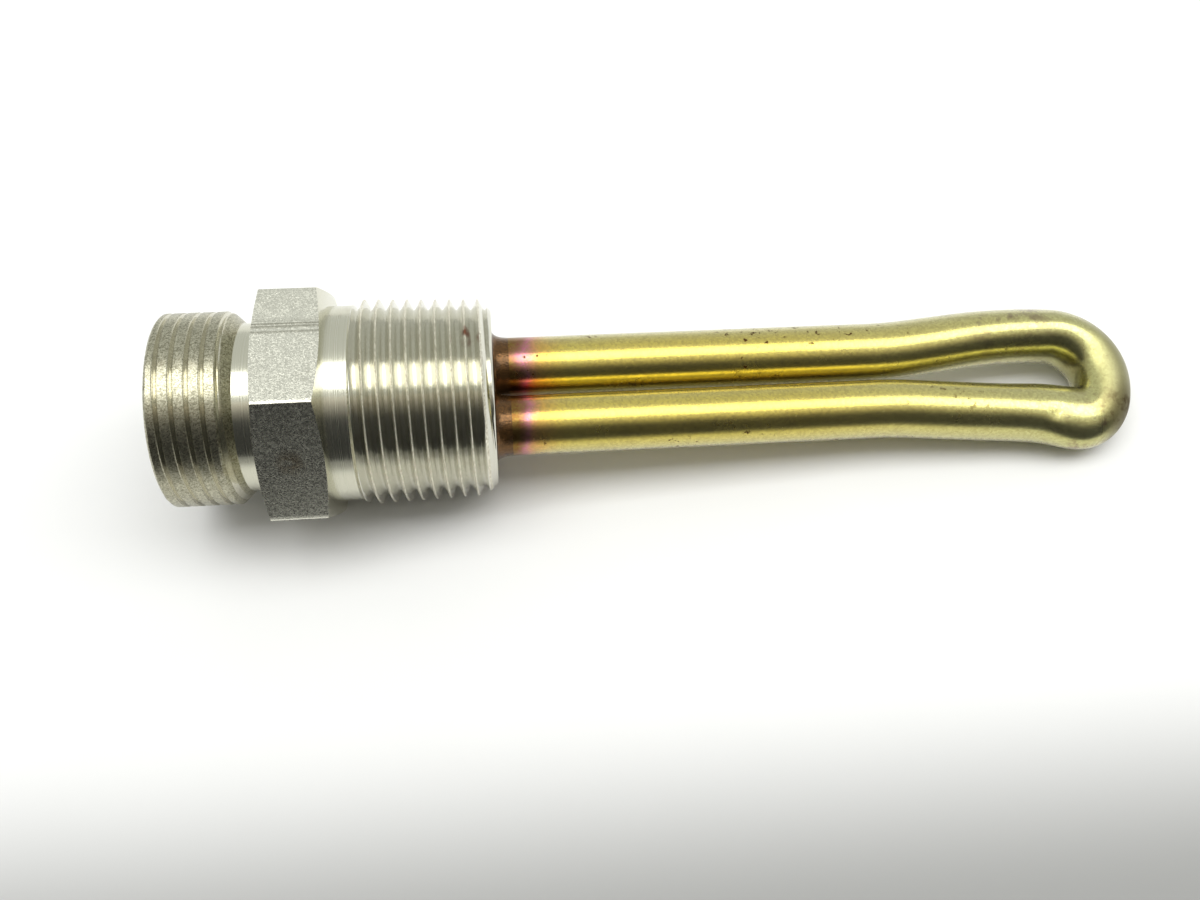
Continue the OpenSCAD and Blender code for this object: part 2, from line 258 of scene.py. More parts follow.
def blasted_steel_finish():
    """Blasted flats, with fine draw marks along the upper one and a brown stain on the front one."""
    material, tree, shader = new_finish("blasted_steel", Metallic=1.0)
    grain = grain_on(tree, 6500.0)
    dirt = stains_on(tree, 190.0, cover=0.42, seed=8.0)
    spot = object_axes(tree)
    off_band = calc(tree, "ABSOLUTE", calc(tree, "SUBTRACT", spot["Y"], marks_across))
    in_band = remap(tree, off_band, 0.6 * MM, 1.3 * MM, 1.0, 0.0)
    on_top = calc(tree, "GREATER_THAN", spot["Z"], upper_flat)
    marked = calc(tree, "MULTIPLY", in_band, on_top)
    marks = line_noise(tree, spot["Y"], 2600.0, 1.0)
    clean = mixed(tree, grain["Sparkle"], (0.64, 0.63, 0.54, 1), (0.80, 0.79, 0.68, 1))
    drawn = calc(tree, "MULTIPLY", marked, remap(tree, marks, 0.42, 0.58))
    lined = mixed(tree, drawn, clean, (0.27, 0.26, 0.20, 1), strength=0.7)
    worn = mixed(tree, dirt, lined, (0.34, 0.30, 0.21, 1), strength=0.2)
    ragged = stains_on(tree, 800.0, cover=0.6, seed=14.0)
    stain = calc(tree, "MULTIPLY", ragged, spot_mask(tree, front_flat_middle, 0.5 * MM, 2.4 * MM))
    colour = mixed(tree, stain, worn, (0.30, 0.21, 0.11, 1), strength=0.6)
    feed(tree, shader, colour, remap(tree, grain["Sparkle"], 0.3, 1.0, 0.19, 0.35))
    smooth_share = calc(tree, "MULTIPLY_ADD", marked, -0.6, 1.0)
    rough = calc(tree, "MULTIPLY", grain["Height"], smooth_share)
    lines = calc(tree, "MULTIPLY", calc(tree, "MULTIPLY", marks, marked), 1.6)
    bumped(tree, shader, calc(tree, "ADD", rough, lines), 0.018 * MM)
    return material


def threaded_steel_finish():
    """Smooth flanks, and crests that the blast has roughened, by the thread's own crest attribute."""
    material, tree, shader = new_finish("threaded_steel", Metallic=1.0)
    crest = place(tree, "ShaderNodeAttribute", attribute_name="crest").outputs["Fac"]
    top = remap(tree, crest, 0.74, 0.94, way="SMOOTHSTEP")
    grain = grain_on(tree, 7000.0)
    dirt = stains_on(tree, 330.0, cover=0.42, seed=5.0)
    sharp_flank = mixed(tree, grain["Sparkle"], (0.64, 0.63, 0.55, 1), (0.69, 0.68, 0.60, 1))
    broad_flank = mixed(tree, grain["Sparkle"], (0.53, 0.51, 0.41, 1), (0.66, 0.64, 0.53, 1))
    sharp_ridge = mixed(tree, grain["Sparkle"], (0.45, 0.42, 0.32, 1), (0.90, 0.88, 0.76, 1))
    broad_ridge = mixed(tree, grain["Sparkle"], (0.20, 0.19, 0.13, 1), (0.56, 0.54, 0.41, 1))
    rear = calc(tree, "LESS_THAN", object_axes(tree)["X"], 0.0)
    flank = mixed(tree, rear, sharp_flank, broad_flank)
    ridge = mixed(tree, rear, sharp_ridge, broad_ridge)
    clean = mixed(tree, top, flank, ridge)
    worn = mixed(tree, dirt, clean, (0.42, 0.36, 0.25, 1), strength=0.3)
    ragged = stains_on(tree, 1500.0, cover=0.66, seed=13.0)
    rust = calc(tree, "MULTIPLY", ragged, spot_mask(tree, rust_spot, 0.5 * MM, 1.2 * MM))
    colour = mixed(tree, rust, worn, (0.22, 0.075, 0.035, 1))
    feed(tree, shader, colour, remap(tree, top, 0.0, 1.0, 0.16, 0.30))
    bumped(tree, shader, calc(tree, "MULTIPLY", grain["Height"], top), 0.012 * MM)
    return material


turned_steel = turned_steel_finish()
blasted_steel = blasted_steel_finish()
threaded_steel = threaded_steel_finish()


def end_dressed(tree, geometry, given, wanted):
    """Ends a geometry tree: its instances are made real and its finish is set."""
    real = place(tree, "GeometryNodeRealizeInstances", {0: geometry})
    inputs = {"Geometry": real.outputs[0], "Material": given["Finish"]}
    dressed = place(tree, "GeometryNodeSetMaterial", inputs)
    tree.links.new(dressed.outputs[0], wanted["Geometry"])
    return tree


def screw_thread_tree():
    """A right-hand thread round the X axis, as an open skin between two round rims."""
    sizes = [
        "Start", "End", "Start Radius", "End Radius", "Start Slope", "End Slope", "Crest Radius",
        "Taper", "Pitch", "Depth", "Crest", "Root", "Crowning", "First Crest"]
    inputs = [(label, "Float") for label in sizes]
    inputs += [("Rows per Turn", "Int"), ("Columns", "Int"), ("Finish", "Material")]
    tree, given, wanted = new_group("Screw thread", "GeometryNodeTree", inputs, [("Geometry", "Geometry")])
    start, end, pitch = given["Start"], given["End"], given["Pitch"]
    turns = calc(tree, "CEIL", calc(tree, "DIVIDE", calc(tree, "SUBTRACT", end, start), pitch))
    rows = calc(tree, "MULTIPLY", calc(tree, "ADD", turns, 3.0), given["Rows per Turn"])
    grid = place(tree, "GeometryNodeMeshGrid", {
        "Size X": 1.0, "Size Y": 1.0, "Vertices X": calc(tree, "ADD", rows, 1.5),
        "Vertices Y": calc(tree, "ADD", given["Columns"], 1.5)})
    spot = place(tree, "ShaderNodeSeparateXYZ", {0: place(tree, "GeometryNodeInputPosition").outputs[0]})
    along = calc(tree, "ADD", spot.outputs["X"], 0.5)
    turn = calc(tree, "ADD", spot.outputs["Y"], 0.5)

    # The rows follow the helix from a crest before the start, and stop at both rims
    crests_before = calc(tree, "DIVIDE", calc(tree, "SUBTRACT", start, given["First Crest"]), pitch)
    first = calc(tree, "SUBTRACT", calc(tree, "FLOOR", crests_before), 1.0)
    travelled = calc(tree, "MULTIPLY", along, calc(tree, "ADD", turns, 3.0))
    crest_count = calc(tree, "ADD", calc(tree, "ADD", first, travelled), turn)
    free = calc(tree, "MULTIPLY_ADD", crest_count, pitch, given["First Crest"])
    station = calc(tree, "MINIMUM", calc(tree, "MAXIMUM", free, start), end)

    crest_way = calc(tree, "DIVIDE", calc(tree, "SUBTRACT", station, given["First Crest"]), pitch)
    wave = calc(tree, "PINGPONG", calc(tree, "SUBTRACT", crest_way, turn), 0.5)
    top = calc(tree, "MULTIPLY", given["Crest"], 0.5)
    bottom = calc(tree, "MULTIPLY_ADD", given["Root"], -0.5, 0.5)
    cut = calc(tree, "POWER", remap(tree, wave, top, bottom), given["Crowning"])

    to_end = calc(tree, "SUBTRACT", end, station)
    from_start = calc(tree, "SUBTRACT", station, start)
    crest = calc(tree, "MULTIPLY_ADD", given["Taper"], to_end, given["Crest Radius"])
    threaded = calc(tree, "SUBTRACT", crest, calc(tree, "MULTIPLY", cut, given["Depth"]))
    start_limit = calc(tree, "MULTIPLY_ADD", given["Start Slope"], from_start, given["Start Radius"])
    end_limit = calc(tree, "MULTIPLY_ADD", given["End Slope"], to_end, given["End Radius"])
    limited = calc(tree, "MINIMUM", calc(tree, "MINIMUM", threaded, start_limit), end_limit)
    hair = 1e-7
    at_start = place(tree, "GeometryNodeSwitch", {
        "Switch": calc(tree, "LESS_THAN", from_start, hair), "False": limited,
        "True": given["Start Radius"]}, input_type="FLOAT").outputs[0]
    radius = place(tree, "GeometryNodeSwitch", {
        "Switch": calc(tree, "LESS_THAN", to_end, hair), "False": at_start,
        "True": given["End Radius"]}, input_type="FLOAT").outputs[0]

    angle = calc(tree, "MULTIPLY", turn, math.tau)
    across = calc(tree, "MULTIPLY", radius, calc(tree, "COSINE", angle))
    upward = calc(tree, "MULTIPLY", radius, calc(tree, "SINE", angle))
    position = place(tree, "ShaderNodeCombineXYZ", {0: station, 1: across, 2: upward}).outputs[0]
    marked = place(tree, "GeometryNodeStoreNamedAttribute", {
        "Geometry": grid.outputs["Mesh"], "Name": "crest",
        "Value": calc(tree, "SUBTRACT", 1.0, cut)}, data_type="FLOAT", domain="POINT")
    shaped = place(tree, "GeometryNodeSetPosition", {"Geometry": marked.outputs[0], "Position": position})
    welded = place(tree, "GeometryNodeMergeByDistance", {"Geometry": shaped.outputs[0], "Distance": weld})
    outward = place(tree, "GeometryNodeFlipFaces", {0: welded.outputs[0]})
    return end_dressed(tree, outward.outputs[0], given, wanted)


def grown_mesh(name, tree, sizes, source=None):
    """The plain mesh that a node tree makes from its named inputs."""
    holder = bpy.data.objects.new(name, source or bpy.data.meshes.new(name))
    scene.collection.objects.link(holder)
    modifier = holder.modifiers.new(name, "NODES")
    modifier.node_group = tree
    for item in tree.interface.items_tree:
        if item.in_out == "INPUT" and item.name in sizes:
            modifier[item.identifier] = sizes[item.name]
    graph = bpy.context.evaluated_depsgraph_get()
    mesh = bpy.data.meshes.new_from_object(holder.evaluated_get(graph), depsgraph=graph)
    holder.modifiers.remove(modifier)
    bpy.data.objects.remove(holder)
    return mesh


screw_thread = screw_thread_tree()
plug_thread = {
    "Pitch": thread_pitch, "Root": 0.05, "Rows per Turn": 20, "Columns": columns, "Finish": threaded_steel}
pipe_thread = grown_mesh("pipe_thread", screw_thread, {
    **plug_thread, "Start": front_neck_end, "End": plug_end,
    "Start Radius": front_neck_radius, "End Radius": end_face_radius,
    "Start Slope": 0.8, "End Slope": 1.0,
    "Crest Radius": pipe_crest_radius, "Taper": 1 / 32, "Depth": 1.4 * MM, "Crest": 0.05, "Crowning": 1.0,
    "First Crest": pipe_first_crest - facing_turn * thread_pitch})
rear_thread = grown_mesh("rear_thread", screw_thread, {
    **plug_thread, "Start": rear_end, "End": rear_neck_start,
    "Start Radius": rear_crest_radius - rear_bevel, "End Radius": rear_neck_radius,
    "Start Slope": 1.0, "End Slope": 0.96,
    "Crest Radius": rear_crest_radius, "Taper": 0.0, "Depth": 0.5 * MM, "Crest": 0.64, "Crowning": 1.2,
    "First Crest": rear_last_crest - facing_turn * thread_pitch})


def hexagon_radius(angle, flats):
    """Radius of a hexagon whose flats face up and down, at an angle from +Y towards +Z."""
    sixth = math.pi / 3
    return flats / 2 / math.cos((angle % sixth) - sixth / 2)


def ring(bm, station, radius, count):
    """One ring of points round the X axis; station and radius may be functions of the angle."""
    points = []
    for k in range(count):
        angle = math.tau * k / count
        x = station(angle) if callable(station) else station
        r = radius(angle) if callable(radius) else radius
        points.append(bm.verts.new((x, r * math.cos(angle), r * math.sin(angle))))
    return points


def band(bm, first, second, finish=0):
    """Quads between two rings of as many points."""
    count = len(first)
    for k in range(count):
        after = (k + 1) % count
        face = bm.faces.new((first[k], first[after], second[after], second[k]))
        face.material_index = finish


def skin(bm, outline, count, finishes=None):
    """Bands through rings, which are (station, radius) pairs, and the rings."""
    rings = [ring(bm, station, radius, count) for station, radius in outline]
    for i in range(len(rings) - 1):
        band(bm, rings[i], rings[i + 1], finishes[i] if finishes else 0)
    return rings


def leg_centre(side):
    """Where the axis of the far leg (1) or the near leg (-1) crosses the plane x = 0."""
    across = side * leg_offset
    return Vector((0, across * math.cos(hairpin_roll), across * math.sin(hairpin_roll)))


def smoothed(mesh, angle):
    """Smooth shading, with the edges sharper than an angle left crisp."""
    mesh.shade_smooth()
    mesh.set_sharp_from_angle(angle=math.radians(angle))


def finished(name, mesh, node, materials=()):
    """A piece of the object, riding on the one rigid body in the place of its solid."""
    for material in materials:
        mesh.materials.append(material)
    piece = bpy.data.objects.new(name, mesh)
    scene.collection.objects.link(piece)
    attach(piece, "root")
    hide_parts(node)
    return piece


def written(bm, mesh):
    """Turns the faces of a built form outward and writes it to a mesh."""
    bmesh.ops.recalc_face_normals(bm, faces=bm.faces)
    bm.to_mesh(mesh)
    bm.free()
    return mesh


def fill_face(bm, loops, normal):
    """A flat face inside the first loop and round the others."""
    edges = []
    for loop in loops:
        for pair in zip(loop, loop[1:] + loop[:1]):
            edges.append(bm.edges.get(pair) or bm.edges.new(pair))
    bmesh.ops.triangle_fill(bm, use_beauty=True, edges=edges, normal=normal)


def plug_mesh():
    """The whole plug as one closed skin."""
    bm = bmesh.new()
    bm.from_mesh(pipe_thread)
    bm.from_mesh(rear_thread)
    turned, blasted, threaded = 0, 1, 2
    for face in bm.faces:
        face.material_index = threaded

    def corner(angle):
        return hexagon_radius(angle, hexagon_flats)

    def chamfer(angle):
        return (corner(angle) - hexagon_face_radius) * hexagon_chamfer

    cup = skin(bm, [
        (cup_floor, cup_radius), (rear_end + cup_bevel, cup_radius),
        (rear_end, cup_radius + cup_bevel), (rear_end, rear_crest_radius - rear_bevel)], columns)
    middle = skin(bm, [
        (rear_neck_start, rear_neck_radius), (-hexagon_length, rear_neck_radius),
        (-hexagon_length, hexagon_face_radius),
        (lambda angle: chamfer(angle) - hexagon_length, corner),
        (lambda angle: -chamfer(angle), corner),
        (0, hexagon_face_radius), (0, front_neck_radius), (front_neck_end, front_neck_radius)],
        columns, [turned, turned, turned, blasted, turned, turned, turned])
    rim = ring(bm, plug_end, end_face_radius, columns)

    corner_step = columns // 6
    corners = [bm.edges.get((middle[3][k], middle[4][k])) for k in range(0, columns, corner_step)]
    bmesh.ops.bevel(bm, geom=corners, offset=hexagon_edge, offset_type="OFFSET", segments=2,
                    profile=0.5, affect="EDGES", material=blasted)

    holes = []
    for side in (1, -1):
        shift = leg_centre(side)
        pair = skin(bm, [(plug_end, leg_hole_radius), (cup_floor, leg_hole_radius)], leg_sides)
        for point in pair[0] + pair[1]:
            point.co += shift
        holes.append(pair)
    fill_face(bm, [rim] + [pair[0] for pair in holes], (1, 0, 0))
    fill_face(bm, [cup[0]] + [pair[1] for pair in holes], (-1, 0, 0))
    bmesh.ops.remove_doubles(bm, verts=bm.verts, dist=weld)
    mesh = written(bm, bpy.data.meshes.new("plug_body_skin"))
    smoothed(mesh, 32)
    return mesh


finished(
    "plug_body_skin", plug_mesh(), "plug_body", [turned_steel, blasted_steel, threaded_steel])


# The element's sheath: a drawn stainless tube, filled, reduced and bent into one hairpin by
# hand on a jig, so that its legs spread towards an uneven bend. Brazing heat tinted it straw
# gold, with purple and brown next to the joint.

sheath_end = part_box("element_sheath")[0].x
sheath_wall = 0.7 * MM
spread_start = plug_end + 51 * MM
spread_radius = 60 * MM
far_angle = 6.2
far_straight = 6.7 * MM
shoulder_radius = 74 * MM
shoulder_angle = 4
crown_radius = 6.9 * MM
crown_angle = 116
nose_radius = leg_radius + 0.25 * MM
near_angle = 5.2
dent_spot = Vector((95.2 * MM, -7.9 * MM, 2.8 * MM))
dent_way = Vector((0, 0.47, -0.88))
dent_depth = 0.22 * MM
dent_reach = 1.8 * MM
# Stations of the tint, specks and dull, shade-painted nose; places of blotches, soil and painted shade
tint_run = 10 * MM
tint_fades = (60 * MM, 100 * MM)
specks_thin = (70 * MM, 96 * MM)
nose_shade_and_dull = (101 * MM, 105 * MM)
far_rim = (91 * MM, 9 * MM, 2.5 * MM)
near_underside = (101 * MM, -10 * MM, -1.5 * MM)
nose_outside_soil_and_shade = (104.6 * MM, -7.8 * MM, 2 * MM)
nose_crease_shade = (100.6 * MM, 0.3 * MM, 1 * MM)
plane_across = Vector((0, math.cos(hairpin_roll), math.sin(hairpin_roll)))
plane_normal = Vector((0, -math.sin(hairpin_roll), math.cos(hairpin_roll)))


def arc_moved(x, across, heading, radius, turn):
    """The pose after an arc: turn is in degrees, to the left if positive."""
    side = 1 if turn > 0 else -1
    start = math.radians(heading)
    stop = math.radians(heading + turn)
    x += side * radius * (math.sin(stop) - math.sin(start))
    across -= side * radius * (math.cos(stop) - math.cos(start))
    return x, across, heading + turn


def hairpin_path():
    """Points along the hairpin in its own plane, from one mouth of the tube to the other."""
    steps = [
        ("arc", spread_radius, far_angle), ("line", far_straight, 0),
        ("arc", shoulder_radius, -far_angle - shoulder_angle),
        ("arc", crown_radius, shoulder_angle - crown_angle),
        ("arc", nose_radius, crown_angle - near_angle - 180)]
    arc_step = 3.0
    line_step = 0.8 * MM
    poses = [(sheath_end, leg_offset, 0.0)]

    def run(kind, size, turn):
        x, across, heading = poses[-1]
        if kind == "line":
            parts = max(1, round(size / line_step))
            way = math.radians(heading)
            for i in range(1, parts + 1):
                part = size * i / parts
                poses.append((x + part * math.cos(way), across + part * math.sin(way), heading))
        else:
            parts = max(2, round(abs(turn) / arc_step), round(abs(math.radians(turn)) * size / line_step))
            for i in range(1, parts + 1):
                poses.append(arc_moved(x, across, heading, size, turn * i / parts))

    run("line", spread_start - sheath_end, 0)
    for step in steps:
        run(*step)
    rise = spread_radius * (1 - math.cos(math.radians(near_angle)))
    straight = (-leg_offset - rise - poses[-1][1]) / math.sin(math.radians(near_angle))
    run("line", straight, 0)
    run("arc", spread_radius, near_angle)
    run("line", poses[-1][0] - sheath_end, 0)
    return poses


def bump_at(value, centre, width):
    """A smooth hump of height 1 at a centre."""
    return math.exp(-((value - centre) / width) ** 2)


def half_widths(way):
    """The tube's half widths inside and outside the bend, as shares of its radius, at a way past the tip.
    The bend was pressed: that narrowed the far leg before the tip and spread the nose after it."""
    narrowed = 0.095 * bump_at(way, -5.6 * MM, 16 * MM)
    inner_spread = 0.09 * bump_at(way, 12.6 * MM, 4.6 * MM)
    outer_spread = 0.28 * bump_at(way, 8.3 * MM, 4 * MM)
    return 1 + inner_spread - narrowed, 1 + outer_spread - narrowed


def bent_tube_tree():
    """A tube swept along a path, with its section widened to either side in the path's own plane."""
    inputs = [
        ("Geometry", "Geometry"), ("Outer Radius", "Float"), ("Inner Radius", "Float"), ("Sides", "Int"),
        ("Plane Normal", "Vector"), ("Finish", "Material")]
    tree, given, wanted = new_group("Bent tube", "GeometryNodeTree", inputs, [("Geometry", "Geometry")])
    path = place(tree, "GeometryNodeMeshToCurve", {0: given["Geometry"]}).outputs[0]
    walls = place(tree, "GeometryNodeJoinGeometry")
    for label in ("Outer Radius", "Inner Radius"):
        section = place(tree, "GeometryNodeCurvePrimitiveCircle", {
            "Resolution": given["Sides"], "Radius": given[label]}, mode="RADIUS")
        wall = place(tree, "GeometryNodeCurveToMesh", {
            "Curve": path, "Profile Curve": section.outputs["Curve"]})
        tree.links.new(wall.outputs[0], walls.inputs[0])

    def stored(label, kind):
        return place(tree, "GeometryNodeInputNamedAttribute", {"Name": label}, data_type=kind).outputs[0]

    def vector(operation, a, b=None, scale=None):
        inputs = {0: a}
        if b is not None:
            inputs[1] = b
        if scale is not None:
            inputs["Scale"] = scale
        return place(tree, "ShaderNodeVectorMath", inputs, operation=operation).outputs

    middle = stored("middle", "FLOAT_VECTOR")
    inward = stored("inward", "FLOAT_VECTOR")
    inner = stored("inner", "FLOAT")
    outer = stored("outer", "FLOAT")
    spot = place(tree, "GeometryNodeInputPosition").outputs[0]
    offset = vector("SUBTRACT", spot, middle)[0]
    height = vector("DOT_PRODUCT", offset, given["Plane Normal"])["Value"]
    upright = vector("SCALE", given["Plane Normal"], scale=height)[0]
    level = vector("SUBTRACT", offset, upright)[0]
    inside = calc(tree, "GREATER_THAN", vector("DOT_PRODUCT", level, inward)["Value"], 0.0)
    wide = place(tree, "GeometryNodeSwitch", {
        "Switch": inside, "False": outer, "True": inner}, input_type="FLOAT").outputs[0]
    wider = vector("SCALE", level, scale=wide)[0]
    thinning = calc(tree, "DIVIDE", 2.0, calc(tree, "ADD", inner, outer))
    flatter = vector("SCALE", upright, scale=thinning)[0]
    placed = vector("ADD", vector("ADD", middle, wider)[0], flatter)[0]
    shaped = place(tree, "GeometryNodeSetPosition", {"Geometry": walls.outputs[0], "Position": placed})
    return end_dressed(tree, shaped.outputs[0], given, wanted)


def tint_colour(tree, uneven, near):
    """Straw gold that runs through purple and brown towards the braze and fades at the bend."""
    ramp = place(tree, "ShaderNodeValToRGB", {"Fac": near})
    tints = [
        (0.00, (0.11, 0.05, 0.013, 1)), (0.24, (0.19, 0.085, 0.02, 1)), (0.32, (0.28, 0.11, 0.08, 1)),
        (0.40, (0.54, 0.18, 0.25, 1)), (0.48, (0.62, 0.28, 0.13, 1)), (0.58, (0.66, 0.39, 0.06, 1)),
        (0.80, (0.67, 0.50, 0.07, 1)), (1.00, (0.66, 0.54, 0.09, 1))]
    while len(ramp.color_ramp.elements) < len(tints):
        ramp.color_ramp.elements.new(0.5)
    for element, (way, colour) in zip(ramp.color_ramp.elements, tints):
        element.position = way
        element.color = colour
    fading = remap(tree, uneven, *tint_fades)
    faded = mixed(tree, fading, ramp.outputs["Color"], (0.57, 0.56, 0.22, 1))
    # Painted sheen: the film's colour pales where it is seen at a low angle
    grazing = place(tree, "ShaderNodeLayerWeight", {"Blend": 0.5}).outputs["Facing"]
    painted_sheen = calc(tree, "MULTIPLY", remap(tree, grazing, 0.2, 0.7), remap(tree, near, 0.4, 0.7))
    return mixed(tree, painted_sheen, faded, (0.55, 0.53, 0.29, 1), strength=0.8)


def speck_mask(tree, station):
    """Burnt specks in loose clouds, fewer towards the bend."""
    specks = stains_on(tree, 1100.0, cover=0.44, seed=1.0)
    clouds = stains_on(tree, 120.0, cover=0.49, seed=2.0)
    strewn = calc(tree, "MULTIPLY", specks, calc(tree, "MULTIPLY_ADD", clouds, 0.9, 0.1))
    fewer = remap(tree, station, *specks_thin, 1.0, 0.2)
    return calc(tree, "MULTIPLY", remap(tree, strewn, 0.08, 0.4), fewer)


def heat_tint_finish():
    """The tinted tube: specks, blotches, a dull nose, soil and painted shade on the nose, a scored dent."""
    material, tree, shader = new_finish("heat_tinted_tube", Metallic=1.0, Coat_Roughness=0.4)
    station = object_axes(tree)["X"]
    drift = noise(tree, 160.0, 3.0)
    uneven = calc(tree, "MULTIPLY_ADD", calc(tree, "SUBTRACT", drift, 0.5), 5 * MM, station)
    near = remap(tree, uneven, plug_end, plug_end + tint_run)
    tinted = tint_colour(tree, uneven, near)
    dirt = speck_mask(tree, station)
    ragged = stains_on(tree, 380.0, cover=0.50, seed=21.0)
    rim = spot_mask(tree, far_rim, 4 * MM, 11 * MM)
    under = spot_mask(tree, near_underside, 3 * MM, 9 * MM)
    blotches = calc(tree, "MULTIPLY", ragged, calc(tree, "MAXIMUM", rim, under))
    grain = grain_on(tree, 3600.0)["Sparkle"]
    grained = mixed(tree, grain, tinted, (0.28, 0.22, 0.05, 1), strength=0.42)
    blotched = mixed(tree, blotches, grained, (0.20, 0.13, 0.065, 1), strength=0.75)
    # Painted shade: towards its tip the nose is darkened, as well as made duller by its roughness
    shade_and_dull = remap(tree, station, *nose_shade_and_dull)
    nose_shaded = mixed(tree, shade_and_dull, blotched, (0.27, 0.25, 0.11, 1), strength=0.85)
    # Soil and painted shade on the outside of the nose, and painted shade in the crease inside it
    outside = spot_mask(tree, nose_outside_soil_and_shade, 1.5 * MM, 5.5 * MM)
    inside = spot_mask(tree, nose_crease_shade, 1 * MM, 3 * MM)
    soil_and_shade = calc(tree, "MAXIMUM", outside, calc(tree, "MULTIPLY", inside, 0.7))
    patchy = calc(tree, "MULTIPLY", soil_and_shade, calc(tree, "MULTIPLY_ADD", ragged, 0.35, 0.65))
    soiled_and_shaded = mixed(tree, patchy, nose_shaded, (0.10, 0.075, 0.03, 1))
    dirty = mixed(tree, dirt, soiled_and_shaded, (0.09, 0.042, 0.012, 1))
    scores = stains_on(tree, 1700.0, cover=0.42, seed=23.0)
    scored = calc(tree, "MULTIPLY", scores, spot_mask(tree, dent_spot, 0.4 * MM, 1.3 * MM))
    colour = mixed(tree, scored, dirty, (0.85, 0.82, 0.55, 1))
    rough = calc(tree, "MULTIPLY_ADD", dirt, 0.2, calc(tree, "MULTIPLY_ADD", shade_and_dull, 0.4, 0.2))
    feed(tree, shader, colour, calc(tree, "MULTIPLY_ADD", drift, 0.1, rough))
    clear = calc(tree, "SUBTRACT", 1.0, calc(tree, "MAXIMUM", dirt, patchy))
    coat = calc(tree, "MULTIPLY", clear, remap(tree, near, 0.3, 0.6, 0.15, 1.0))
    tree.links.new(coat, shader.inputs["Coat Weight"])
    bumped(tree, shader, calc(tree, "MULTIPLY_ADD", dirt, 0.1, noise(tree, 1500.0, 3.0)), 0.012 * MM)
    return material


def sheath_mesh():
    """The hairpin tube with its pressed bend, its dent and both mouths closed round the wall."""
    poses = hairpin_path()
    points = [Vector((x, 0, 0)) + across * plane_across for x, across, heading in poses]
    path = bpy.data.meshes.new("hairpin_path")
    path.from_pydata(points, [(i, i + 1) for i in range(len(points) - 1)], [])
    for label in ("middle", "inward"):
        path.attributes.new(label, "FLOAT_VECTOR", "POINT")
    for label in ("inner", "outer"):
        path.attributes.new(label, "FLOAT", "POINT")
    ways = [0.0]
    for before, after in zip(points, points[1:]):
        ways.append(ways[-1] + (after - before).length)
    tip = max(range(len(poses)), key=lambda i: poses[i][0])
    for i, (x, across, heading) in enumerate(poses):
        turned = math.radians(heading - 90)
        inward = math.cos(turned) * Vector((1, 0, 0)) + math.sin(turned) * plane_across
        inner, outer = half_widths(ways[i] - ways[tip])
        path.attributes["middle"].data[i].vector = points[i]
        path.attributes["inward"].data[i].vector = inward
        path.attributes["inner"].data[i].value = inner
        path.attributes["outer"].data[i].value = outer
    mesh = grown_mesh("element_sheath_skin", bent_tube_tree(), {
        "Outer Radius": leg_radius, "Inner Radius": leg_radius - sheath_wall, "Sides": leg_sides,
        "Plane Normal": plane_normal, "Finish": heat_tinted_tube}, path)
    bm = bmesh.new()
    bm.from_mesh(mesh)
    for side in (1, -1):
        mouth = [
            edge for edge in bm.edges
            if edge.is_boundary and edge.verts[0].co.dot(plane_across) * side > 0]
        bmesh.ops.bridge_loops(bm, edges=mouth)
    for vertex in bm.verts:
        away = (vertex.co - dent_spot).length / dent_reach
        if away < 1:
            vertex.co += dent_depth * (0.5 + 0.5 * math.cos(math.pi * away)) * dent_way
    written(bm, mesh)
    smoothed(mesh, 40)
    return mesh


heat_tinted_tube = heat_tint_finish()
sheath = finished("element_sheath_skin", sheath_mesh(), "element_sheath")


# The braze: a bronze-brown fillet that ran round both legs on the plug's end face and set
# there, dull and sooty from the torch.

braze_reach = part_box("braze_joint")[1].x - plug_end
braze_spread = 2 * MM
# The set fillet drew in, away from the rim of the solid one
drawn_in = 0.5
braze_weld = 0.005 * MM


def braze_finish():
    material, tree, shader = new_finish("sooty_braze", Metallic=0.75)
    grain = grain_on(tree, 4200.0)
    soot = stains_on(tree, 500.0, cover=0.50, seed=4.0)
    warm = mixed(tree, grain["Sparkle"], (0.09, 0.045, 0.015, 1), (0.16, 0.08, 0.028, 1))
    colour = mixed(tree, soot, warm, (0.045, 0.026, 0.012, 1), strength=0.7)
    feed(tree, shader, colour, remap(tree, soot, 0.0, 1.0, 0.10, 0.28))
    bumped(tree, shader, grain["Height"], 0.03 * MM)
    return material


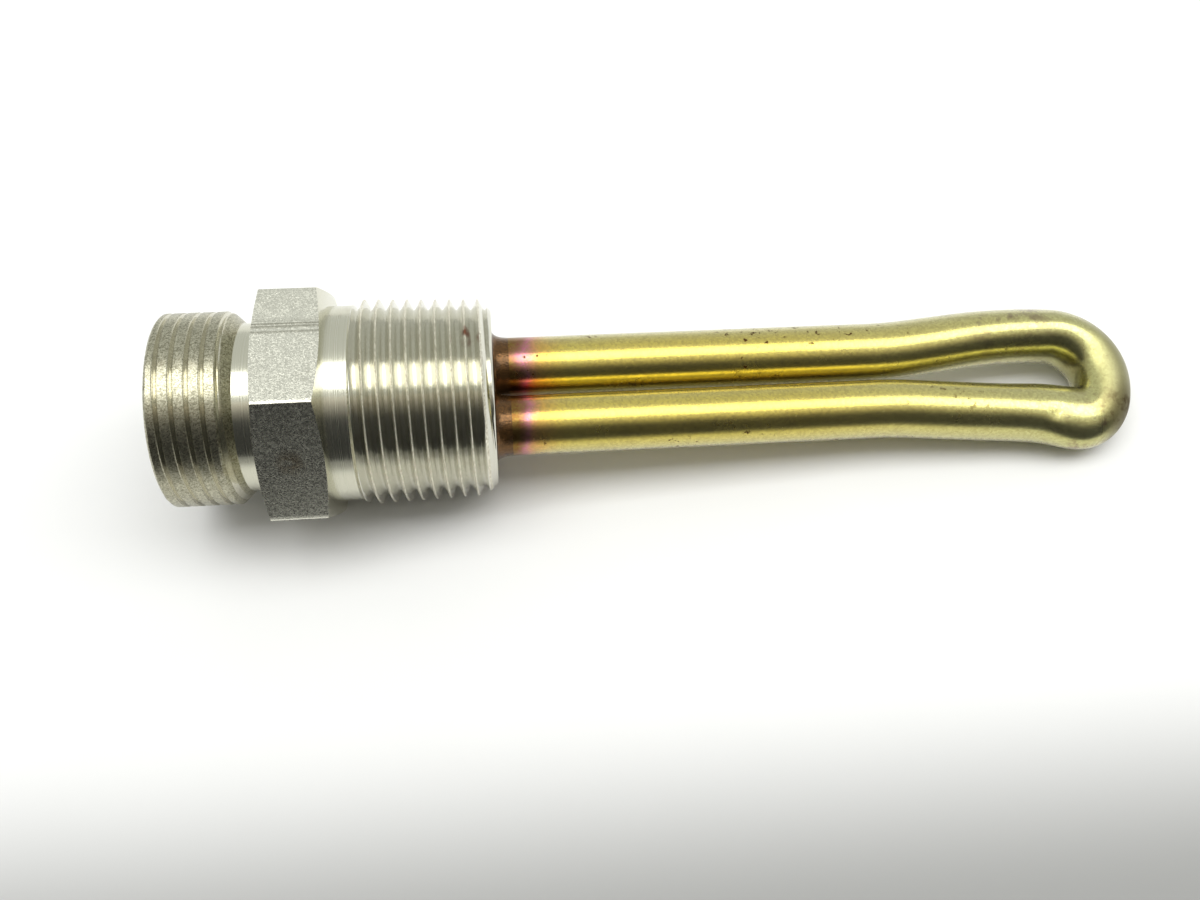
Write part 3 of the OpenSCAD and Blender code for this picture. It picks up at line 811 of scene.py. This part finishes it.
def braze_mesh():
    """Both fillets as one skin, open in a thin step between the legs, where their ripples differ."""
    around = 96
    rows = 10
    bm = bmesh.new()
    for side in (1, -1):
        rings = [[] for _ in range(rows + 3)]
        for k in range(around):
            angle = math.tau * (k + 0.5) / around
            outward = math.cos(angle)
            ripple = 0.9 + 0.06 * math.sin(3 * angle + side) + 0.04 * math.sin(7 * angle - 2 * side)
            spread = drawn_in * braze_spread * ripple
            edge = leg_radius + spread
            meet = leg_offset / -outward if outward < 0 else edge
            edge = min(edge, meet)
            for row in range(rows + 1):
                distance = leg_radius + (edge - leg_radius) * row / rows
                share = min(1, (distance - leg_radius) / spread)
                height = braze_reach * (1 - math.sqrt(1 - (1 - share) ** 2))
                rings[row + 1].append((height, distance, angle))
            rings[0].append((0, leg_radius, angle))
            rings[rows + 2].append((0, edge, angle))
        loops = []
        for points in rings:
            loop = []
            for height, distance, angle in points:
                across = side * (leg_offset + distance * math.cos(angle))
                upward = distance * math.sin(angle)
                spot = across * plane_across + upward * plane_normal
                loop.append(bm.verts.new((plug_end + height, spot.y, spot.z)))
            loops.append(loop)
        for first, second in zip(loops, loops[1:] + loops[:1]):
            band(bm, first, second)
    bmesh.ops.remove_doubles(bm, verts=bm.verts, dist=braze_weld)
    inside = [
        face for face in bm.faces
        if all(abs(point.co.dot(plane_across)) < braze_weld for point in face.verts)]
    bmesh.ops.delete(bm, geom=inside, context="FACES")
    mesh = written(bm, bpy.data.meshes.new("braze_joint_skin"))
    smoothed(mesh, 45)
    return mesh


finished("braze_joint_skin", braze_mesh(), "braze_joint", [braze_finish()])


# What the tube holds: pressed magnesia powder round a coil of resistance wire. Both stay as
# the solids are, because the sheath closes over them.

def powder_finish():
    material, tree, shader = new_finish("pressed_magnesia", Roughness=0.95)
    lumps = stains_on(tree, 1800.0, cover=0.55, seed=6.0)
    colour = mixed(tree, lumps, (0.82, 0.81, 0.77, 1), (0.90, 0.89, 0.85, 1))
    feed(tree, shader, colour)
    bumped(tree, shader, lumps, 0.04 * MM)
    return material


def wire_finish():
    material, tree, shader = new_finish("resistance_wire", Metallic=1.0)
    grain = grain_on(tree, 9000.0)
    colour = mixed(tree, grain["Sparkle"], (0.24, 0.235, 0.23, 1), (0.36, 0.35, 0.34, 1))
    feed(tree, shader, colour, remap(tree, grain["Sparkle"], 0.0, 1.0, 0.35, 0.5))
    return material


def dress(node, material):
    """Gives a solid that stays a finish of its own."""
    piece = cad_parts[node]
    piece.data.materials.clear()
    piece.data.materials.append(material)


dress("magnesia_fill", powder_finish())
dress("resistance_coil", wire_finish())


# The mouths of the tube: red resin cast round each pin, and a white fired bushing with a
# bevelled rim that keeps the terminals clear of the sheath.

def resin_finish():
    material, tree, shader = new_finish("cast_resin", Roughness=0.38)
    cloud = stains_on(tree, 700.0, cover=0.5, seed=7.0)
    colour = mixed(tree, cloud, (0.36, 0.07, 0.035, 1), (0.27, 0.05, 0.025, 1))
    feed(tree, shader, colour)
    return material


def ceramic_finish():
    material, tree, shader = new_finish("fired_ceramic")
    grain = grain_on(tree, 4000.0)
    grime = stains_on(tree, 420.0, cover=0.42, seed=9.0)
    clean = mixed(tree, grain["Sparkle"], (0.80, 0.78, 0.71, 1), (0.86, 0.84, 0.78, 1))
    colour = mixed(tree, grime, clean, (0.52, 0.46, 0.36, 1), strength=0.4)
    feed(tree, shader, colour, remap(tree, grime, 0.0, 1.0, 0.35, 0.6))
    bumped(tree, shader, grain["Height"], 0.02 * MM)
    return material


cast_resin = resin_finish()
fired_ceramic = ceramic_finish()
for number in ("1", "2"):
    dress("end_seal_" + number, cast_resin)
    dress("ceramic_bushing_" + number, fired_ceramic)


# The cold pins: plated steel bars that run from the coil to the terminal cup, where their
# ends are threaded as studs for the terminal nuts.

bushing_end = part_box("ceramic_bushing_1")[0].x
pin_radius = 1.5 * MM
pin_sides = 48
stud_pitch = 0.5 * MM
stud_stop = bushing_end + 1.2 * MM
stud_end_radius = 0.75 * pin_radius
tip_start = plug_end + 12 * MM
tip_radius = 0.966 * MM


def plated_steel_finish():
    material, tree, shader = new_finish("plated_steel", Metallic=1.0)
    crest = place(tree, "ShaderNodeAttribute", attribute_name="crest").outputs["Fac"]
    grime = stains_on(tree, 800.0, cover=0.46, seed=11.0)
    # The colour darkens from the crests of the threads towards their roots
    clean = mixed(tree, crest, (0.46, 0.45, 0.42, 1), (0.64, 0.63, 0.60, 1))
    colour = mixed(tree, grime, clean, (0.30, 0.27, 0.22, 1), strength=0.5)
    feed(tree, shader, colour, remap(tree, grime, 0.0, 1.0, 0.24, 0.45))
    return material


plated_steel = plated_steel_finish()
for number, side in (("1", 1), ("2", -1)):
    name = "terminal_pin_" + number
    pin_low, pin_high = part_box(name)
    stud = grown_mesh("stud_thread", screw_thread, {
        "Start": pin_low.x, "End": stud_stop, "Start Radius": stud_end_radius,
        "End Radius": pin_radius, "Start Slope": 1.0, "End Slope": 4.0, "Crest Radius": pin_radius,
        "Taper": 0.0, "Pitch": stud_pitch, "Depth": 0.27 * MM, "Crest": 0.14, "Root": 0.24,
        "Crowning": 1.0, "First Crest": pin_low.x, "Rows per Turn": 10, "Columns": pin_sides,
        "Finish": plated_steel})
    bm = bmesh.new()
    bm.from_mesh(stud)
    start = ring(bm, pin_low.x, stud_end_radius, pin_sides)
    bm.faces.new(list(reversed(start)))
    bar = skin(bm, [
        (stud_stop, pin_radius), (tip_start, pin_radius), (tip_start, tip_radius),
        (pin_high.x, tip_radius)], pin_sides)
    bm.faces.new(bar[-1])
    bmesh.ops.remove_doubles(bm, verts=bm.verts, dist=weld)
    bmesh.ops.translate(bm, verts=bm.verts, vec=leg_centre(side))
    written(bm, stud)
    smoothed(stud, 32)
    finished(name + "_threaded", stud, name)


# The terminal hardware: on each stud a washer and a nut that fix the bushing, and a second
# pair for the wire, all of machined brass. One nut and one washer are set out on both studs.

washer_radius = 3.2 * MM
washer_thick = 0.5 * MM
nut_flats = 5.5 * MM
nut_height = 2.4 * MM
hardware_bore = pin_radius + 0.03 * MM
nut_step = washer_thick + nut_height
hardware_sides = 48


def brass_finish():
    material, tree, shader = new_finish("machined_brass", Metallic=1.0)
    rings = rings_on(tree, 14000.0)
    tarnish = stains_on(tree, 520.0, cover=0.5, seed=12.0)
    clean = mixed(tree, rings, (0.62, 0.46, 0.18, 1), (0.72, 0.56, 0.25, 1))
    colour = mixed(tree, tarnish, clean, (0.30, 0.20, 0.08, 1), strength=0.6)
    feed(tree, shader, colour, remap(tree, tarnish, 0.0, 1.0, 0.22, 0.42))
    bumped(tree, shader, rings, 0.008 * MM)
    return material


def on_each_stud_tree():
    """One piece of hardware, copied to both places on both studs."""
    inputs = [
        ("Geometry", "Geometry"), ("First Station", "Float"), ("Station Step", "Float"),
        ("Stud Spacing", "Float"), ("Roll", "Float"), ("Finish", "Material")]
    tree, given, wanted = new_group("On each stud", "GeometryNodeTree", inputs, [("Geometry", "Geometry")])
    places = place(tree, "GeometryNodeMeshGrid", {
        "Size X": given["Station Step"], "Size Y": given["Stud Spacing"], "Vertices X": 2, "Vertices Y": 2})
    half_step = calc(tree, "MULTIPLY", given["Station Step"], 0.5)
    middle = calc(tree, "SUBTRACT", given["First Station"], half_step)
    shift = place(tree, "ShaderNodeCombineXYZ", {0: middle}).outputs[0]
    roll = place(tree, "ShaderNodeCombineXYZ", {0: given["Roll"]}).outputs[0]
    turned_places = place(tree, "GeometryNodeTransform", {
        "Geometry": places.outputs["Mesh"], "Translation": shift, "Rotation": roll})
    copies = place(tree, "GeometryNodeInstanceOnPoints", {
        "Points": turned_places.outputs[0], "Instance": given["Geometry"], "Rotation": roll})
    return end_dressed(tree, copies.outputs[0], given, wanted)


def closed_ring_mesh(name, outline):
    """A mesh turned through the rings of an outline, and closed from the last ring to the first."""
    bm = bmesh.new()
    rings = skin(bm, outline, hardware_sides)
    band(bm, rings[-1], rings[0])
    return written(bm, bpy.data.meshes.new(name))


def washer_outline():
    edge = 0.08 * MM
    return [
        (-washer_thick, hardware_bore), (-washer_thick, washer_radius - edge),
        (edge - washer_thick, washer_radius), (-edge, washer_radius), (0, washer_radius - edge),
        (0, hardware_bore)]


def nut_outline():
    """A hexagon nut with both faces chamfered and its bore countersunk."""
    sink = 0.22 * MM

    def corner(angle):
        return hexagon_radius(angle + math.pi / 6, nut_flats)

    def chamfer(angle):
        return 0.5 * (corner(angle) - nut_flats / 2)

    return [
        (sink - nut_step, hardware_bore), (-nut_step, hardware_bore + sink), (-nut_step, nut_flats / 2),
        (lambda angle: chamfer(angle) - nut_step, corner),
        (lambda angle: -washer_thick - chamfer(angle), corner),
        (-washer_thick, nut_flats / 2), (-washer_thick, hardware_bore + sink),
        (-washer_thick - sink, hardware_bore)]


machined_brass = brass_finish()
on_each_stud = on_each_stud_tree()
for name, outline in (("terminal_washers", washer_outline()), ("terminal_nuts", nut_outline())):
    one = closed_ring_mesh("one_of_" + name, outline)
    several = grown_mesh(name + "_set", on_each_stud, {
        "First Station": bushing_end, "Station Step": nut_step, "Stud Spacing": 2 * leg_offset,
        "Roll": hairpin_roll, "Finish": machined_brass}, one)
    smoothed(several, 30)
    finished(name + "_brass", several, name)


# The table, the light and the camera: the heater lies on pale paper, on the hexagon's lower
# edge and on the bend, below one wide overhead light, with a dark room in front of it.

hexagon_bottom = plug_low.z
edge_station = -(hexagon_flats / 2 - hexagon_face_radius) * hexagon_chamfer
bend_start = 70 * MM
bend = [vertex.co for vertex in sheath.data.vertices if vertex.co.x > bend_start]
table_slope = min((point.z - hexagon_bottom) / (point.x - edge_station) for point in bend)
table_half = 1.2
room_near = -0.125
room_top = 0.29
room_dark_top = 0.11
room_bottom = -0.05
room_half = 0.6
painted_paper_shade = (-37 * MM, -68 * MM)


def table_height(x):
    return hexagon_bottom + table_slope * (x - edge_station)


def paper_finish():
    material, tree, shader = new_finish("pale_paper", Roughness=0.9)
    lit = mixed(tree, noise(tree, 60.0, 4.0), (0.86, 0.86, 0.85, 1), (0.88, 0.88, 0.87, 1))
    # Painted shade: the paper darkens towards the front
    shade = remap(tree, object_axes(tree)["Y"], *painted_paper_shade, way="SMOOTHSTEP")
    colour = mixed(tree, shade, lit, (0.35, 0.35, 0.34, 1))
    feed(tree, shader, colour)
    return material


def stage_sheet(name, corners, material):
    """One flat sheet that is no part of the object."""
    mesh = bpy.data.meshes.new(name)
    mesh.from_pydata(corners, [], [(0, 1, 2, 3)])
    mesh.materials.append(material)
    sheet = bpy.data.objects.new(name, mesh)
    scene.collection.objects.link(sheet)
    return sheet


def dark_finish():
    material, tree, shader = new_finish("dark_room", Roughness=1.0)
    rising = remap(tree, object_axes(tree)["Z"], room_dark_top, room_top)
    colour = mixed(tree, rising, (0.045, 0.045, 0.045, 1), (0.80, 0.73, 0.65, 1))
    feed(tree, shader, colour)
    return material


table_corners = [(x * table_half, y * table_half) for x, y in ((-1, -1), (1, -1), (1, 1), (-1, 1))]
stage_sheet("table", [(x, y, table_height(x)) for x, y in table_corners], paper_finish())
dark_room = stage_sheet("dark_room", [
    (-room_half, room_near, room_bottom), (room_half, room_near, room_bottom),
    (room_half, room_near, room_top), (-room_half, room_near, room_top)], dark_finish())
dark_room.visible_camera = False

lamp_long = 1.2
lamp_wide = 0.32
lamp_place = Vector((0.12, 0.015, 0.6))
lamp_level = 3.4
lamp = bpy.data.lights.new("overhead", "AREA")
lamp.shape = "RECTANGLE"
lamp.size = lamp_long
lamp.size_y = lamp_wide
lamp.energy = lamp_level * math.pi * lamp_long * lamp_wide
overhead = bpy.data.objects.new("overhead", lamp)
overhead.location = lamp_place
scene.collection.objects.link(overhead)

world = bpy.data.worlds.new("grey_room")
world.use_nodes = True
background = world.node_tree.nodes["Background"].inputs
background["Color"].default_value = (0.745, 0.765, 0.75, 1)
background["Strength"].default_value = 1.0
scene.world = world
scene.view_settings.view_transform = "Standard"

camera_azimuth = math.radians(-10.709)
camera_elevation = math.radians(61.349)
camera_roll = math.radians(6.64)
camera_distance = 146.752 * MM
camera_target = Vector((34.556 * MM, 0, 0))
target_drop = -7.754 * MM
picture_width = 1200
focal_pixels = 1094.741
back = Vector((
    math.sin(camera_azimuth) * math.cos(camera_elevation),
    -math.cos(camera_azimuth) * math.cos(camera_elevation), math.sin(camera_elevation)))
level = Vector((0, 0, 1)).cross(back).normalized()
upright = back.cross(level)
right = math.cos(camera_roll) * level + math.sin(camera_roll) * upright
upward = math.cos(camera_roll) * upright - math.sin(camera_roll) * level
eye = camera_target + target_drop * upward + camera_distance * back
camera_data = bpy.data.cameras.new("camera")
camera_data.sensor_width = 36
camera_data.lens = camera_data.sensor_width * focal_pixels / picture_width
camera_data.clip_start = 0.01
camera = bpy.data.objects.new("camera", camera_data)
turn = Matrix((right, upward, back)).transposed().to_4x4()
camera.matrix_world = Matrix.Translation(eye) @ turn
scene.collection.objects.link(camera)
scene.camera = camera
